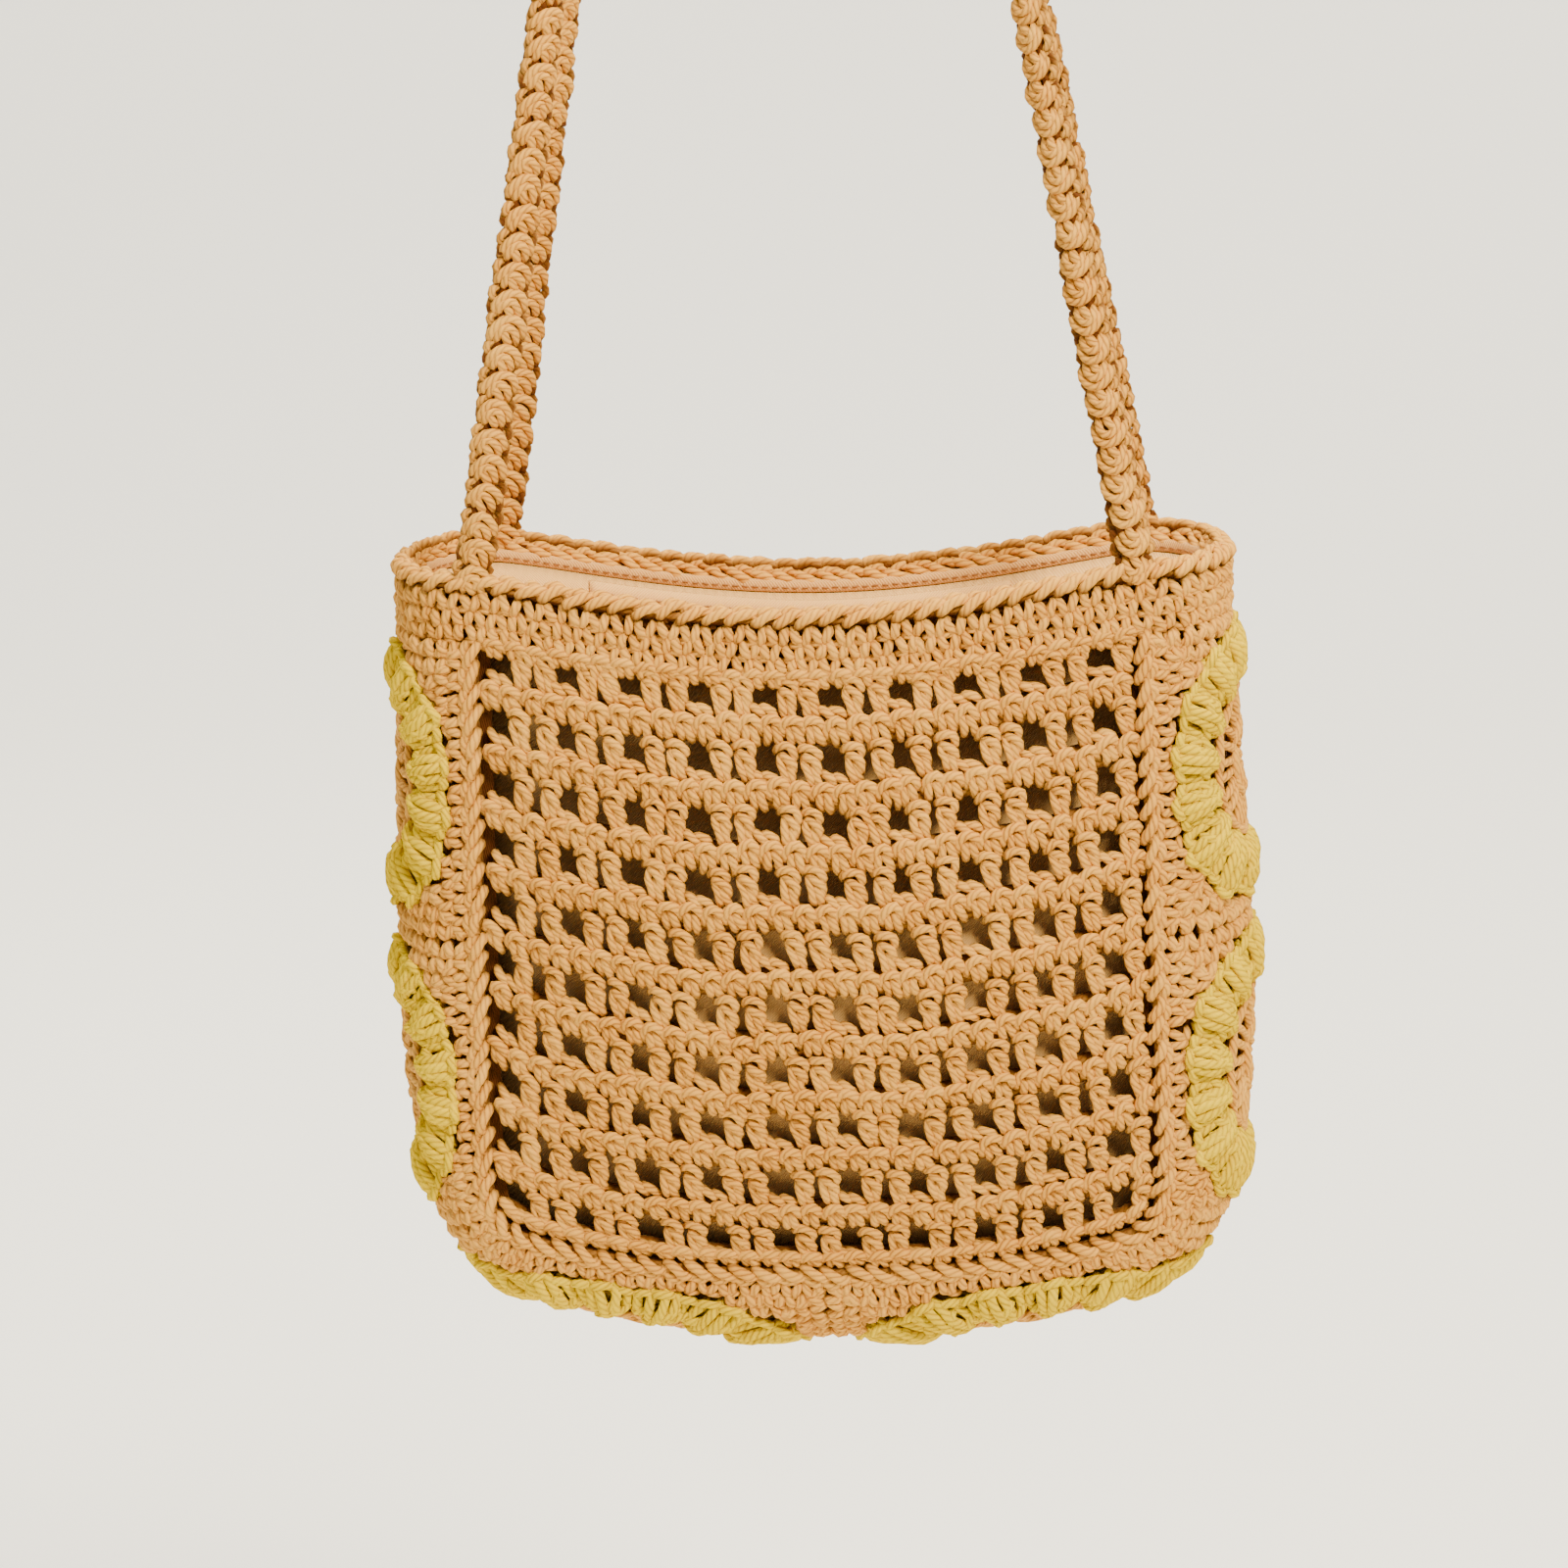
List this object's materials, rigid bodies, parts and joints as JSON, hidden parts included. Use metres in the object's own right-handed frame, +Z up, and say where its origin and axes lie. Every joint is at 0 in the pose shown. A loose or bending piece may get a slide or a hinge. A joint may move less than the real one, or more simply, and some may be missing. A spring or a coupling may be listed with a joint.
{
  "type": "crocheted shoulder bag",
  "caption": "Soft crocheted cotton shoulder bag with a mesh front and back, a granny-square gusset, a cotton lining and two narrow straps, shown hanging from its straps.",
  "frame": {"origin": "underside of the two straps at the middle of their bend, where they lie over whatever holds the bag up", "axes": "+Z up, +X to the right of the mesh front as a viewer sees it, +Y from the front panel towards the back panel"},
  "size_m": [0.2588, 0.0822, 0.6352],
  "materials": {
    "sand_yarn": "matt plied cotton yarn, crocheted",
    "yellow_yarn": "matt plied cotton yarn, crocheted in puffy clusters",
    "cotton_twill": "matt woven cotton twill, sewn"
  },
  "bodies": {
    "root": {"front_panel": "sand_yarn", "back_panel": "sand_yarn", "square_left_upper_centre": "sand_yarn", "square_left_upper_ring": "yellow_yarn", "square_left_upper_border": "sand_yarn", "square_left_lower_centre": "sand_yarn", "square_left_lower_ring": "yellow_yarn", "square_left_lower_border": "sand_yarn", "square_bottom_left_centre": "sand_yarn", "square_bottom_left_ring": "yellow_yarn", "square_bottom_left_border": "sand_yarn", "square_bottom_right_centre": "sand_yarn", "square_bottom_right_ring": "yellow_yarn", "square_bottom_right_border": "sand_yarn", "square_right_lower_centre": "sand_yarn", "square_right_lower_ring": "yellow_yarn", "square_right_lower_border": "sand_yarn", "square_right_upper_centre": "sand_yarn", "square_right_upper_ring": "yellow_yarn", "square_right_upper_border": "sand_yarn", "front_seam_ridge": "sand_yarn", "back_seam_ridge": "sand_yarn", "top_band": "sand_yarn", "rim_braid": "sand_yarn", "lining": "cotton_twill", "lining_hem": "cotton_twill", "lining_pocket": "cotton_twill", "strap_front": "sand_yarn", "strap_back": "sand_yarn"}
  },
  "joints": []
}
